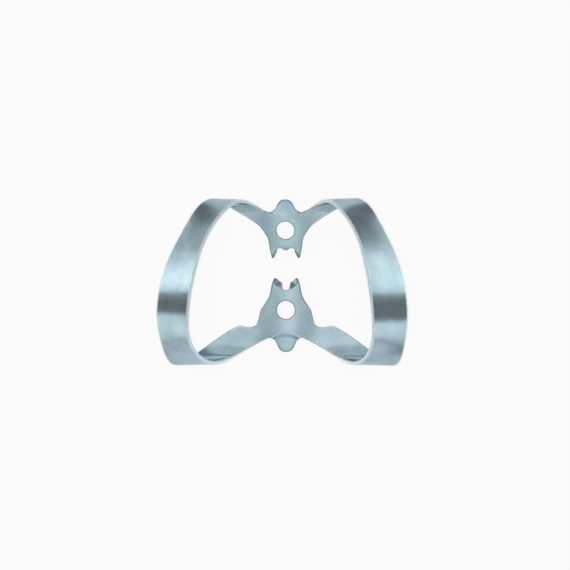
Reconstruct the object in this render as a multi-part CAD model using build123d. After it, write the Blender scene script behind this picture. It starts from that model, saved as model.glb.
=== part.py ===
from build123d import *
import math
import os

# Spring-steel sheet that the whole clamp is stamped from
sheet = 0.6
edge_round = 0.14
bend_inside = 0.25
bend_outside = bend_inside + sheet
cut_wall_angle = 25.0

# Holes that the forceps beaks enter, as reaches outwards from the tooth's middle
hole_diameter = 2.75
lower_hole_reach = 6.29
upper_hole_reach = 6.0

# Lip that each jaw turns down to the tooth: its crease is an arc about an upright axis
lower_lip_axis = 1.17
lower_lip_radius = 2.1
lower_lip_slope = 28.0
upper_lip_axis = 1.32
upper_lip_radius = 1.91
upper_lip_slope = 47.0

# Tabs that hold the dam: each steps down from its jaw along an arched crease, past the land beside the hole
lower_hole_land = 2.285
lower_tab_length = 2.8
lower_tab_half = 1.68
lower_tab_root = 0.53
lower_tab_arc = 3.85
lower_tab_run = 0.5
lower_tab_drop = 0.3
upper_hole_land = 1.005
upper_tab_length = 2.35
upper_tab_half = 1.62
upper_tab_root = 0.38
upper_tab_arc = 3.89
upper_tab_run = 1.0
upper_tab_drop = 0.3
upper_tab_foot = 5.0
lower_tab_crease = lower_hole_reach + hole_diameter / 2 + lower_hole_land
upper_tab_crease = upper_hole_reach + hole_diameter / 2 + upper_hole_land

# Prongs: reach of their tips, half width across them, and depth of the notch between them
lower_prong_reach = 1.22
lower_prong_half = 1.75
lower_notch_half = 0.5
lower_notch_depth = 2.02
upper_prong_reach = 1.29
upper_prong_half = 2.07
upper_tooth_half = 0.29
upper_notch_depth = 1.9

# Necks: half widths. Cheeks and arms: how far they stand out from them, and stay short of the tab's crease
lower_neck_half = 2.52
lower_cheek_out = 1.98
lower_arm_out = 2.65
lower_arm_short = 1.1
upper_neck_half = 2.69
upper_cheek_out = 1.24
upper_arm_out = 2.25
upper_arm_short = 0.15

# Flat lengths and directions of the arms' edges, on the tab side (rim) and on the prong side (arm)
lower_rim_run = 1.6
lower_rim_angle = 26.5
lower_arm_run = 1.2
lower_arm_angle = 28.0
upper_rim_run = 1.2
upper_rim_angle = 21.5
upper_arm_run = 0.9
upper_arm_angle = 31.0

# Upward tilt of the upper jaw
upper_tilt = 12.0

# Bows: half span and height of the inner edge at the crest, reach of the front turn, width, flare and lean
bow_half_span = 13.66
bow_crest = 11.0
bow_front = 14.05
bow_width = 5.0
bow_flare = 0.25
bow_lean = 33.0

# Reach of the cutting bodies, beyond every edge of the clamp
beyond = 40.0


def lower_corners():
    """Right half of the lower jaw's edge, prong to arm: half width, reach and rounding of each corner."""
    arm_reach = lower_tab_crease - lower_arm_short
    cheek_half = lower_neck_half + lower_cheek_out
    return [
        (lower_notch_half, lower_prong_reach + lower_notch_depth, 0.8 * lower_notch_half),
        (1.24 * lower_notch_half, lower_prong_reach + 0.46 * lower_notch_depth, 0.4 * lower_notch_half),
        (lower_prong_half, lower_prong_reach, 0.16 * lower_prong_half),
        (0.85 * lower_neck_half, lower_prong_reach + 0.485 * lower_notch_depth, 0.24 * lower_neck_half),
        (lower_neck_half, 0.668 * lower_hole_reach, 1.19 * lower_neck_half),
        (lower_neck_half + 0.687 * lower_cheek_out, lower_hole_reach, 0.5 * lower_cheek_out),
        (cheek_half, arm_reach, 0.5 * lower_cheek_out),
        (cheek_half + 0.604 * lower_arm_out, 1.006 * arm_reach, 0.755 * lower_arm_out),
        (cheek_half + lower_arm_out, 0.972 * arm_reach, 0.453 * lower_arm_out),
    ]


def upper_corners():
    """Right half of the upper jaw's edge, centre tooth to arm: half width, reach and rounding."""
    arm_reach = upper_tab_crease - upper_arm_short
    cheek_half = upper_neck_half + upper_cheek_out
    return [
        (upper_tooth_half, upper_prong_reach + 0.8 * upper_notch_depth, 0.5 * upper_tooth_half),
        (2.03 * upper_tooth_half, upper_prong_reach + upper_notch_depth, upper_tooth_half),
        (0.69 * upper_prong_half, upper_prong_reach + upper_notch_depth, 0.16 * upper_prong_half),
        (0.652 * upper_prong_half, upper_prong_reach + 0.71 * upper_notch_depth, 0.06 * upper_prong_half),
        (upper_prong_half, upper_prong_reach, 0.097 * upper_prong_half),
        (0.922 * upper_neck_half, upper_prong_reach + upper_notch_depth, 0.62 * upper_neck_half),
        (upper_neck_half, 0.8 * upper_hole_reach, 1.126 * upper_neck_half),
        (cheek_half, 0.818 * arm_reach, 1.55 * upper_neck_half),
        (cheek_half + upper_arm_out, arm_reach, 1.2 * upper_arm_out),
    ]


def tab_corners(crease, length, half, root):
    """Right half of a tab's edge, from the valley beside it to its tip."""
    stem = length - root
    tip_half = 0.5 * half
    side_lean = math.atan2(half - tip_half, 0.78 * stem)
    tip_round = 0.88 * tip_half / math.tan((math.pi / 2 - side_lean) / 2)
    return [
        (1.475 * half, crease + root, 0.3 * stem),
        (half, crease + root + 0.22 * stem, 0.29 * stem),
        (tip_half, crease + length, tip_round),
    ]


def along(corner, angle, distance):
    """Point at a distance from a corner in a direction."""
    turn = math.radians(angle)
    return (corner[0] + distance * math.cos(turn), corner[1] + distance * math.sin(turn))


def jaw_outline(corners, tab, ends):
    """Whole edge of a jaw, with straight cuts across its arms at their ends."""
    near, far = ends
    right = corners + [(*far, 0), (*near, 0)] + tab
    left = [(-half, reach, rounding) for half, reach, rounding in reversed(right)]
    points = [(half, reach) for half, reach, _ in right + left]
    roundings = [rounding for _, _, rounding in right + left]
    return Face(FilletPolyline(*points, radius=roundings, close=True).wire())


def turned_sheet(axis_reach, top_line, bends):
    """Sheet turned about an upright axis, from the line of its upper face drawn from the axis outwards."""
    section = FilletPolyline(*top_line, radius=bends).wire().offset_2d(sheet, side=Side.RIGHT, closed=True)
    return Pos(0, axis_reach, 0) * revolve(Plane.XZ * Face(section), axis=Axis.Z)


def pierced_blank(outline, hole_reach):
    """Upright prism over a jaw's outline, with its forceps hole."""
    hole = Pos(0, hole_reach, 0) * Cylinder(hole_diameter / 2, 2 * beyond)
    return extrude(outline, beyond, both=True) - hole


def prong_side(hole_reach):
    """Space on the tooth's side of a forceps hole's middle."""
    return Pos(0, hole_reach - beyond, 0) * Box(2 * beyond, 2 * beyond, 2 * beyond)


def jaw_nose(blank, hole_reach, axis_reach, radius, slope):
    """Prong half of a jaw with its lip turned down; the upper face of the plate is at z = 0."""
    start = 0.1 * radius
    drop = (radius - start) * math.tan(math.radians(slope))
    line = [(start, -drop), (radius, 0), (beyond, 0)]
    return turned_sheet(axis_reach, line, [bend_outside]) & blank & prong_side(hole_reach)


def jaw_tail(blank, hole_reach, crease, arc, step):
    """Tab half of a jaw, with its tab stepped down: run and drop of the step, and rounding at its foot."""
    run, drop, foot = step
    line = [(0, -drop), (arc - run, -drop), (arc, 0), (beyond, 0)]
    return turned_sheet(crease + arc, line, [foot, bend_outside]) & blank - prong_side(hole_reach)


def bow_edges(low, up, leaving, arriving):
    """Inner and outer edge of the right-hand bow's upper face, from the lower jaw to the upper one."""
    # Course of the inner edge, as shares of the half span, front reach, crest, width, lean and flare
    course = [
        (0.835, -0.986, 0.47, 1.14, 0.47, -1.0),
        (0.973, -0.83, 0.78, 0.99, 0.9, 0.0),
        (1.0, -0.491, 1.0, 1.02, 1.0, 0.0),
        (0.906, 0.071, 0.87, 0.99, 1.0, 0.0),
        (0.752, 0.459, 0.67, 0.9, 0.9, 0.0),
        (0.495, 0.708, 0.45, 0.94, 0.47, 1.0),
    ]
    inner = [low[0]]
    outer = [low[1]]
    for span, reach, height, width, lean, flare in course:
        edge = Vector(span * bow_half_span, reach * bow_front, height * bow_crest)
        across = width * bow_width
        fall = across * math.tan(math.radians(lean * bow_lean))
        inner.append(edge)
        outer.append(edge + Vector(across, flare * bow_flare, -fall))
    inner.append(up[0])
    outer.append(up[1])
    middles = [(a + b) / 2 for a, b in zip(inner, outer)]
    places = [0.0]
    for before, after in zip(middles, middles[1:]):
        places.append(places[-1] + (after - before).length)
    edges = []
    for points, out, back in zip((inner, outer), leaving, arriving):
        start = out * ((points[1] - points[0]).length / (places[1] - places[0]))
        end = back * ((points[-1] - points[-2]).length / (places[-1] - places[-2]))
        edges.append(Edge.make_spline(points, tangents=[start, end], parameters=places, scale=False))
    return edges


def cut_edges(solid):
    """Edges at which the sheet's faces meet its cut walls."""
    owners = {}
    for face in solid.faces():
        for edge in face.edges():
            owners.setdefault(edge, []).append(face)
    edges = []
    for edge, faces in owners.items():
        middle = edge @ 0.5
        if faces[0].normal_at(middle).get_angle(faces[-1].normal_at(middle)) > cut_wall_angle:
            edges.append(edge)
    return edges


def prong_height(rim):
    """Lowest corner of a rim near the tooth."""
    near = [corner.Z for corner in rim.vertices() if abs(corner.Y) < lower_hole_reach / 2]
    return min(near, default=beyond)


lower_tab = tab_corners(lower_tab_crease, lower_tab_length, lower_tab_half, lower_tab_root)
upper_tab = tab_corners(upper_tab_crease, upper_tab_length, upper_tab_half, upper_tab_root)

# Points at which each arm passes into the bow, on its tab side and on its prong side
lower_ends = (
    along(lower_tab[0], lower_rim_angle, lower_rim_run),
    along(lower_corners()[-1], lower_arm_angle, lower_arm_run),
)
upper_ends = (
    along(upper_tab[0], upper_rim_angle, upper_rim_run),
    along(upper_corners()[-1], upper_arm_angle, upper_arm_run),
)

lower_blank = pierced_blank(jaw_outline(lower_corners(), lower_tab, lower_ends), lower_hole_reach)
upper_blank = pierced_blank(jaw_outline(upper_corners(), upper_tab, upper_ends), upper_hole_reach)
lower_nose = jaw_nose(lower_blank, lower_hole_reach, lower_lip_axis, lower_lip_radius, lower_lip_slope)
upper_nose = jaw_nose(upper_blank, upper_hole_reach, upper_lip_axis, upper_lip_radius, upper_lip_slope)
lower_step = (lower_tab_run, lower_tab_drop, bend_inside)
lower_flat = lower_nose + jaw_tail(lower_blank, lower_hole_reach, lower_tab_crease, lower_tab_arc, lower_step)
upper_step = (upper_tab_run, upper_tab_drop, upper_tab_foot)
upper_flat = upper_nose + jaw_tail(upper_blank, upper_hole_reach, upper_tab_crease, upper_tab_arc, upper_step)

# Both jaws rest their prongs on z = 0
lower_place = Pos(0, 0, -lower_flat.bounding_box().min.Z) * Rot(0, 0, 180)
upper_turn = Rot(upper_tilt, 0, 0)
upper_place = Pos(0, 0, -(upper_turn * upper_flat).bounding_box().min.Z) * upper_turn

low = [(lower_place * Location((-half, reach, 0))).position for half, reach in lower_ends]
up = [(upper_place * Location((half, reach, 0))).position for half, reach in upper_ends]
outward = Vector(1, 0, 0)
leaving = [outward.rotate(Axis.Z, -turn) for turn in (lower_rim_angle, lower_arm_angle)]
level = [-outward.rotate(Axis.Z, turn) for turn in (upper_rim_angle, upper_arm_angle)]
arriving = [direction.rotate(Axis.X, upper_tilt) for direction in level]
skin = Face.make_surface_from_curves(*bow_edges(low, up, leaving, arriving))
downward = -1 if skin.normal_at(low[0]).Z > 0 else 1
bow = Solid.thicken(skin, sheet * downward)

stamped = (lower_place * lower_flat + upper_place * upper_flat + bow + mirror(bow, Plane.YZ)).solid()

# The rim under the prongs stays sharp to grip the tooth, every other rim is rounded
rims = sorted(Wire.combine(cut_edges(stamped)), key=prong_height)
clamp = stamped.fillet(edge_round, [edge for rim in rims[1:] for edge in rim.edges()])

os.makedirs("parts", exist_ok=True)
export_step(clamp, "parts/dam_clamp.step")
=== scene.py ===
"""Dresses the rubber dam clamp in satin steel and sets it on a pale studio floor."""

import math

import bpy
from bpy.props import FloatProperty, FloatVectorProperty, PointerProperty
from bpy.types import NodeSocket, Operator, Panel, PropertyGroup
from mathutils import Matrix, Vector

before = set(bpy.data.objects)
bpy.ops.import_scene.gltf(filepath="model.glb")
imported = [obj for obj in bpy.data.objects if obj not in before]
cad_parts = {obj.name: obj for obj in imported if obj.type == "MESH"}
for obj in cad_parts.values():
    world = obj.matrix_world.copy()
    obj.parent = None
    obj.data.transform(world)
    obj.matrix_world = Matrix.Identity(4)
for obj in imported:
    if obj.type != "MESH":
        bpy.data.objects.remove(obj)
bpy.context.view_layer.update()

bl_info = {
    "name": "Rubber Dam Clamp",
    "version": (1, 0, 0),
    "blender": (4, 5, 0),
    "location": "View3D > Sidebar > Dam Clamp",
    "description": "Satin steel finish and studio for a stamped rubber dam clamp",
    "category": "Object",
}

CLAMP_NODE = "dam_clamp"
MILLIMETRE = 0.001

# Share of the rays inside the metal that run their length: a face has more than the first, a cut edge less
# than the second
FACE_CLEARANCE = 0.74
EDGE_CLEARANCE = 0.67
EDGE_RAYS = 24
# Cut edges: painted shade up to the first share of the jaw's half width, painted highlight from the second
EDGE_SHADE_END = 0.3
EDGE_HIGHLIGHT_START = 0.7
# Stretches of the noises over which the tone and the roughness change
CLOUD_STRETCH = (0.32, 0.62)
GRAIN_STRETCH = (0.3, 0.7)
ROUGHNESS_SPREAD = 0.025
# Press waves against the clouds, and the grain's depth against its size
WAVE_TO_CLOUD = 1.3
GRAIN_DEPTH = 0.1
GRAIN_STRENGTH = 0.03

# Soft boxes round the clamp: name, azimuth and elevation in degrees, width and height in metres, brightness
SOFT_BOXES = (
    ("overhead_box", 270.0, 90.0, 0.8, 0.64, 0.42),
    ("overhead_strip", 180.0, 85.0, 0.6, 0.2, 0.62),
    ("back_box", 90.0, 30.0, 0.4, 0.75, 0.62),
    ("front_box", 270.0, 30.0, 0.4, 0.75, 0.6),
    ("left_back_box", 151.5, 18.0, 0.2, 0.42, 1.65),
    ("left_front_box", 206.0, 12.0, 0.36, 0.26, 1.2),
    ("right_back_box", 33.5, 22.0, 0.25, 0.42, 1.5),
    ("right_front_box", 320.5, 18.0, 0.33, 0.3, 1.15),
)
LAMP_DISTANCE = 0.6
ROOM_WHITE = (1.0, 1.0, 1.0, 1.0)
# Width of the camera's sensor in millimetres, and the point that the camera aims at
SENSOR_WIDTH = 36.0
CAMERA_AIM = Vector((-0.215, -2.46, 0.0)) * MILLIMETRE


class SteelFinish(PropertyGroup):
    """Colours and textures of the tumbled steel, with painted highlight and shade on its cut edges."""

    steel_color: FloatVectorProperty(
        name="Steel",
        description="Bluish grey of the bare steel",
        default=(0.365, 0.485, 0.54),
        subtype="COLOR",
    )
    stain_color: FloatVectorProperty(
        name="Stain",
        description="Darker steel in the clouds of the finish",
        default=(0.265, 0.365, 0.412),
        subtype="COLOR",
    )
    # Painted highlight: near-white colour put on the bows' cut edges for their bright reflection
    edge_highlight_color: FloatVectorProperty(
        name="Edge",
        description="Bright bare steel of the bows' cut edges",
        default=(0.88, 0.95, 0.99),
        subtype="COLOR",
    )
    # Painted shade: darker colour put on the jaws' cut edges
    edge_shade_color: FloatVectorProperty(
        name="Painted edge shade",
        description="Darker steel of the jaws' cut edges",
        default=(0.22, 0.3, 0.335),
        subtype="COLOR",
    )
    edge_depth: FloatProperty(
        name="Edge depth",
        description="A little less than the sheet, to tell cut edges from faces",
        default=0.00058,
        unit="LENGTH",
    )
    edge_roughness: FloatProperty(
        name="Edge roughness",
        description="Roughness of the bows' cut edges",
        default=0.6,
        min=0.0,
        max=1.0,
        subtype="FACTOR",
    )
    roughness: FloatProperty(
        name="Roughness",
        description="Mean roughness of the satin finish",
        default=0.22,
        min=0.05,
        max=1.0,
        subtype="FACTOR",
    )
    grain_size: FloatProperty(
        name="Grain size",
        description="Size of one speck of the tumbled grain",
        default=0.00022,
        unit="LENGTH",
    )
    cloud_size: FloatProperty(
        name="Cloud size",
        description="Size of the soft clouds in the finish",
        default=0.0045,
        unit="LENGTH",
    )
    wave_height: FloatProperty(
        name="Wave height",
        description="Depth of the press waves in the jaws",
        default=0.0002,
        unit="LENGTH",
    )
    crown_height: FloatProperty(
        name="Crown height",
        description="Rise of the jaws at their middle",
        default=0.0003,
        unit="LENGTH",
    )
    jaw_half: FloatProperty(
        name="Jaw half width",
        description="Distance from the middle at which crown and waves end",
        default=0.009,
        unit="LENGTH",
    )


class StudioSetup(PropertyGroup):
    """Floor, light of the room and camera of the studio."""

    floor_color: FloatVectorProperty(
        name="Floor",
        description="Pale floor",
        default=(0.93, 0.93, 0.93),
        subtype="COLOR",
    )
    floor_size: FloatProperty(
        name="Floor size",
        description="Side of the floor",
        default=3.0,
        unit="LENGTH",
    )
    floor_lift: FloatProperty(
        name="Floor lift",
        description="Share of plain white in the floor that is seen",
        default=0.9,
        min=0.0,
        max=1.0,
        subtype="FACTOR",
    )
    ambient: FloatProperty(
        name="Ambient",
        description="Light of the room between the lamps",
        default=0.29,
    )
    camera_distance: FloatProperty(
        name="Camera distance",
        description="Camera to the point that it aims at",
        default=0.45,
        unit="LENGTH",
    )
    camera_lean: FloatProperty(
        name="Camera lean",
        description="Lean of the camera to the right",
        default=math.radians(5.0),
        unit="ROTATION",
    )
    view_width: FloatProperty(
        name="View width",
        description="Width that the picture shows where the camera aims",
        default=0.08769,
        unit="LENGTH",
    )


def named_node(tree, kind, label, spot):
    """New shader node with a plain name."""
    node = tree.nodes.new(kind)
    node.name = label
    node.label = label
    node.location = spot
    return node


def feed(tree, socket, value):
    """Link an input to the output of a node, or set it to a plain value."""
    if isinstance(value, NodeSocket):
        tree.links.new(value, socket)
    else:
        socket.default_value = value


def calculate(tree, operation, label, spot, *values):
    """Result of a math node."""
    node = named_node(tree, "ShaderNodeMath", label, spot)
    node.operation = operation
    for socket, value in zip(node.inputs, values):
        feed(tree, socket, value)
    return node.outputs["Value"]


def mix(tree, kind, label, spot, factor, first, second):
    """Blend of two numbers or two colours."""
    node = named_node(tree, "ShaderNodeMix", label, spot)
    node.data_type = kind
    for name, value in (("Factor", factor), ("A", first), ("B", second)):
        feed(tree, node.inputs[name], value)
    return node.outputs["Result"]


def map_range(tree, label, spot, value, source, target, curve="LINEAR"):
    """Clamped map of a value from one stretch to another."""
    node = named_node(tree, "ShaderNodeMapRange", label, spot)
    node.interpolation_type = curve
    node.inputs["From Min"].default_value, node.inputs["From Max"].default_value = source
    node.inputs["To Min"].default_value, node.inputs["To Max"].default_value = target
    tree.links.new(value, node.inputs["Value"])
    return node.outputs["Result"]


def noise(tree, label, spot, coords, feature_size, detail, roughness):
    """Noise whose features have a real size, in the part's own coordinates."""
    texture = named_node(tree, "ShaderNodeTexNoise", label, spot)
    texture.inputs["Scale"].default_value = 1.0 / feature_size
    texture.inputs["Detail"].default_value = detail
    texture.inputs["Roughness"].default_value = roughness
    tree.links.new(coords, texture.inputs["Vector"])
    return texture.outputs["Fac"]


def cloudy_tone(tree, finish, coords):
    """Steel colour with soft darker clouds."""
    clouds = noise(tree, "Clouds", (-1100, 500), coords, finish.cloud_size, detail=3.0, roughness=0.55)
    tone = named_node(tree, "ShaderNodeValToRGB", "Steel tone", (-850, 500))
    colors = (finish.stain_color, finish.steel_color)
    for stop, position, color in zip(tone.color_ramp.elements, CLOUD_STRETCH, colors):
        stop.position = position
        stop.color = (*color, 1.0)
    tree.links.new(clouds, tone.inputs["Fac"])
    return tone.outputs["Color"]


def jaw_share(tree, label, row, coords, low, high):
    """One at the middle of the part, falling to nought between two distances across it."""
    sides = named_node(tree, "ShaderNodeSeparateXYZ", label + " sides", (-1400, row))
    tree.links.new(coords, sides.inputs["Vector"])
    across = calculate(tree, "ABSOLUTE", label + " distance", (-1200, row), sides.outputs["X"])
    return map_range(tree, label, (-1000, row), across, (low, high), (1.0, 0.0), "SMOOTHSTEP")


def edge_masks(tree, finish, coords):
    """Masks of painted shade on the jaws' cut edges and painted highlight on the bows', found where the
    metal is narrow.
    """
    narrow = named_node(tree, "ShaderNodeAmbientOcclusion", "Narrow metal", (-1200, 1100))
    narrow.inside = True
    narrow.only_local = True
    narrow.samples = EDGE_RAYS
    narrow.inputs["Distance"].default_value = finish.edge_depth
    limits = (FACE_CLEARANCE, EDGE_CLEARANCE)
    edge = map_range(tree, "Cut edge", (-1000, 1100), narrow.outputs["AO"], limits, (0.0, 1.0))
    shade_end, highlight_start = EDGE_SHADE_END * finish.jaw_half, EDGE_HIGHLIGHT_START * finish.jaw_half
    jaws = jaw_share(tree, "Jaw edges", 850, coords, shade_end, highlight_start)
    # Shade is painted on the jaws' cut edges and a highlight on the bows'
    painted_shade = calculate(tree, "MULTIPLY", "Painted edge shades", (-800, 850), edge, jaws)
    painted_highlight = calculate(tree, "SUBTRACT", "Painted edge highlights", (-650, 1000), edge, painted_shade)
    return painted_shade, painted_highlight


def jaw_waves(tree, finish, coords):
    """Height of the crown and the shallow press waves in the jaws, which end towards the bows."""
    wave_size = WAVE_TO_CLOUD * finish.cloud_size
    waves = noise(tree, "Press waves", (-1200, -300), coords, wave_size, detail=1.0, roughness=0.4)
    share = jaw_share(tree, "Jaw share", -550, coords, 0.0, finish.jaw_half)
    crown_to_wave = finish.crown_height / finish.wave_height
    crown = calculate(tree, "MULTIPLY", "Crown", (-750, -500), share, crown_to_wave)
    total = calculate(tree, "ADD", "Crown and waves", (-600, -400), waves, crown)
    return calculate(tree, "MULTIPLY", "Press height", (-450, -400), total, share)


def steel_material(finish):
    """Satin tumbled steel: soft clouds, fine grain, painted highlight or shade on cut edges, press waves in
    the jaws.
    """
    material = bpy.data.materials.new("tumbled_steel")
    material.use_nodes = True
    tree = material.node_tree
    link = tree.links.new
    shader = tree.nodes["Principled BSDF"]
    shader.inputs["Metallic"].default_value = 1.0
    coords = named_node(tree, "ShaderNodeTexCoord", "Part coordinates", (-1600, 0)).outputs["Object"]

    painted_shade, painted_highlight = edge_masks(tree, finish, coords)
    painted_shade_color = (*finish.edge_shade_color, 1.0)
    painted_highlight_color = (*finish.edge_highlight_color, 1.0)
    color = cloudy_tone(tree, finish, coords)
    # Painted shade on the jaws' cut edges
    color = mix(tree, "RGBA", "Painted edge shade tone", (-500, 700), painted_shade, color, painted_shade_color)
    # Painted highlight on the bows' cut edges
    color = mix(tree, "RGBA", "Painted edge highlight tone", (-300, 600), painted_highlight, color, painted_highlight_color)
    link(color, shader.inputs["Base Color"])

    grain = noise(tree, "Tumbled grain", (-1100, 0), coords, finish.grain_size, detail=2.0, roughness=0.6)
    satin_limits = (finish.roughness - ROUGHNESS_SPREAD, finish.roughness + ROUGHNESS_SPREAD)
    satin = map_range(tree, "Satin roughness", (-850, 0), grain, GRAIN_STRETCH, satin_limits)
    rough = mix(tree, "FLOAT", "Satin and edges", (-500, 150), painted_highlight, satin, finish.edge_roughness)
    link(rough, shader.inputs["Roughness"])

    wave_bump = named_node(tree, "ShaderNodeBump", "Wave height", (-400, -300))
    wave_bump.inputs["Distance"].default_value = finish.wave_height
    link(jaw_waves(tree, finish, coords), wave_bump.inputs["Height"])
    grain_bump = named_node(tree, "ShaderNodeBump", "Grain height", (-200, -200))
    grain_bump.inputs["Strength"].default_value = GRAIN_STRENGTH
    grain_bump.inputs["Distance"].default_value = GRAIN_DEPTH * finish.grain_size
    link(grain, grain_bump.inputs["Height"])
    link(wave_bump.outputs["Normal"], grain_bump.inputs["Normal"])
    link(grain_bump.outputs["Normal"], shader.inputs["Normal"])
    return material


def floor_material(studio):
    """Pale floor that the camera and the metal see as white, with the clamp's shadow on it."""
    material = bpy.data.materials.new("studio_floor")
    material.use_nodes = True
    tree = material.node_tree
    link = tree.links.new
    tree.nodes.remove(tree.nodes["Principled BSDF"])
    paper = named_node(tree, "ShaderNodeBsdfDiffuse", "Paper", (-400, 100))
    paper.inputs["Color"].default_value = (*studio.floor_color, 1.0)
    white = named_node(tree, "ShaderNodeEmission", "Plain white", (-400, -100))
    white.inputs["Strength"].default_value = 1.0
    rays = named_node(tree, "ShaderNodeLightPath", "Ray kind", (-1000, -200)).outputs
    seen = calculate(
        tree, "MAXIMUM", "Camera or glossy", (-800, -150), rays["Is Camera Ray"], rays["Is Glossy Ray"]
    )
    seen = calculate(tree, "MAXIMUM", "Or transmitted", (-650, -150), seen, rays["Is Transmission Ray"])
    lift = calculate(tree, "MULTIPLY", "Lift", (-500, -150), seen, studio.floor_lift)
    mixed = named_node(tree, "ShaderNodeMixShader", "Paper and plain white", (-150, 0))
    for source, socket in zip((lift, paper.outputs["BSDF"], white.outputs["Emission"]), mixed.inputs):
        link(source, socket)
    link(mixed.outputs["Shader"], tree.nodes["Material Output"].inputs["Surface"])
    return material


def soft_lamp(name, azimuth, elevation, width, height, radiance):
    """Rectangular soft box that faces the clamp; its power follows from its area and its brightness."""
    lamp = bpy.data.lights.new(name, "AREA")
    lamp.shape = "RECTANGLE"
    lamp.size = width
    lamp.size_y = height
    lamp.energy = radiance * math.pi * width * height
    holder = bpy.data.objects.new(name, lamp)
    bpy.context.scene.collection.objects.link(holder)
    turn = math.radians(azimuth)
    rise = math.radians(elevation)
    towards = Vector((math.cos(rise) * math.cos(turn), math.cos(rise) * math.sin(turn), math.sin(rise)))
    holder.location = LAMP_DISTANCE * towards
    holder.rotation_euler = towards.to_track_quat("Z", "Y").to_euler()


class CLAMP_OT_finish_steel(Operator):
    """Give the clamp its tumbled steel finish, with painted highlight and shade on its cut edges"""

    bl_idname = "clamp.finish_steel"
    bl_label = "Finish steel"

    def execute(self, context):
        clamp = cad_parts[CLAMP_NODE]
        material = steel_material(context.scene.clamp_finish)
        clamp.material_slots[0].material = material
        return {"FINISHED"}


class CLAMP_OT_set_stage(Operator):
    """Lay the floor, hang the lamps and place the camera"""

    bl_idname = "clamp.set_stage"
    bl_label = "Set stage"

    def execute(self, context):
        studio = context.scene.clamp_studio
        bpy.ops.mesh.primitive_plane_add(size=studio.floor_size)
        floor = context.object
        floor.name = "floor"
        floor.data.materials.append(floor_material(studio))

        world = bpy.data.worlds.new("studio_room")
        world.use_nodes = True
        room = world.node_tree.nodes["Background"]
        room.inputs["Color"].default_value = ROOM_WHITE
        room.inputs["Strength"].default_value = studio.ambient
        context.scene.world = world

        for box in SOFT_BOXES:
            soft_lamp(*box)

        camera = bpy.data.cameras.new("camera")
        camera.sensor_width = SENSOR_WIDTH
        camera.lens = SENSOR_WIDTH * studio.camera_distance / studio.view_width
        eye = bpy.data.objects.new("camera", camera)
        context.scene.collection.objects.link(eye)
        back = Vector((math.sin(studio.camera_lean), 0.0, math.cos(studio.camera_lean)))
        eye.location = CAMERA_AIM + studio.camera_distance * back
        eye.rotation_euler = (0.0, studio.camera_lean, 0.0)
        context.scene.camera = eye
        context.scene.view_settings.view_transform = "Standard"
        return {"FINISHED"}


class CLAMP_PT_panel(Panel):
    """Finish and studio of the clamp"""

    bl_idname = "CLAMP_PT_panel"
    bl_label = "Dam Clamp"
    bl_space_type = "VIEW_3D"
    bl_region_type = "UI"
    bl_category = "Dam Clamp"

    def draw(self, context):
        layout = self.layout
        for heading, group, operator in (
            ("Steel", context.scene.clamp_finish, CLAMP_OT_finish_steel),
            ("Studio", context.scene.clamp_studio, CLAMP_OT_set_stage),
        ):
            box = layout.box()
            box.label(text=heading)
            for name in group.bl_rna.properties.keys():
                if name not in {"rna_type", "name"}:
                    box.prop(group, name)
            box.operator(operator.bl_idname)


CLASSES = (SteelFinish, StudioSetup, CLAMP_OT_finish_steel, CLAMP_OT_set_stage, CLAMP_PT_panel)


def register():
    for cls in CLASSES:
        bpy.utils.register_class(cls)
    bpy.types.Scene.clamp_finish = PointerProperty(type=SteelFinish)
    bpy.types.Scene.clamp_studio = PointerProperty(type=StudioSetup)


def unregister():
    del bpy.types.Scene.clamp_studio
    del bpy.types.Scene.clamp_finish
    for cls in reversed(CLASSES):
        bpy.utils.unregister_class(cls)


def main():
    """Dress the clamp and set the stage."""
    register()
    bpy.ops.clamp.finish_steel()
    bpy.ops.clamp.set_stage()


if __name__ == "__main__":
    main()
